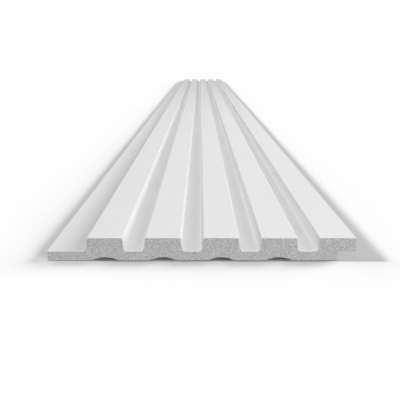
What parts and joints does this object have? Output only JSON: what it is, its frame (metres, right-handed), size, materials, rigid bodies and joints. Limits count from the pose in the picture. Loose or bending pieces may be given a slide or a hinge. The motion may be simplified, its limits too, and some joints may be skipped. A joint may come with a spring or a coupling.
{
  "type": "slatted wall panel",
  "caption": "Long rigid foam wall panel with flat-topped ribs, rounded channels between them, a lap tongue along one edge, a lip along the other and shallow glue grooves in its back.",
  "frame": {"origin": "centre of the panel's back, midway between its two long edges and its two ends", "axes": "+X across the ribs from the tongue to the lip, +Y along the panel, +Z from the wall to the room"},
  "size_m": [0.1598, 2.7, 0.012],
  "materials": {
    "primed_polystyrene": "matte white primer on the faces, bare sawn foam on the ends"
  },
  "bodies": {
    "root": {"wall_panel": "primed_polystyrene"}
  },
  "joints": []
}
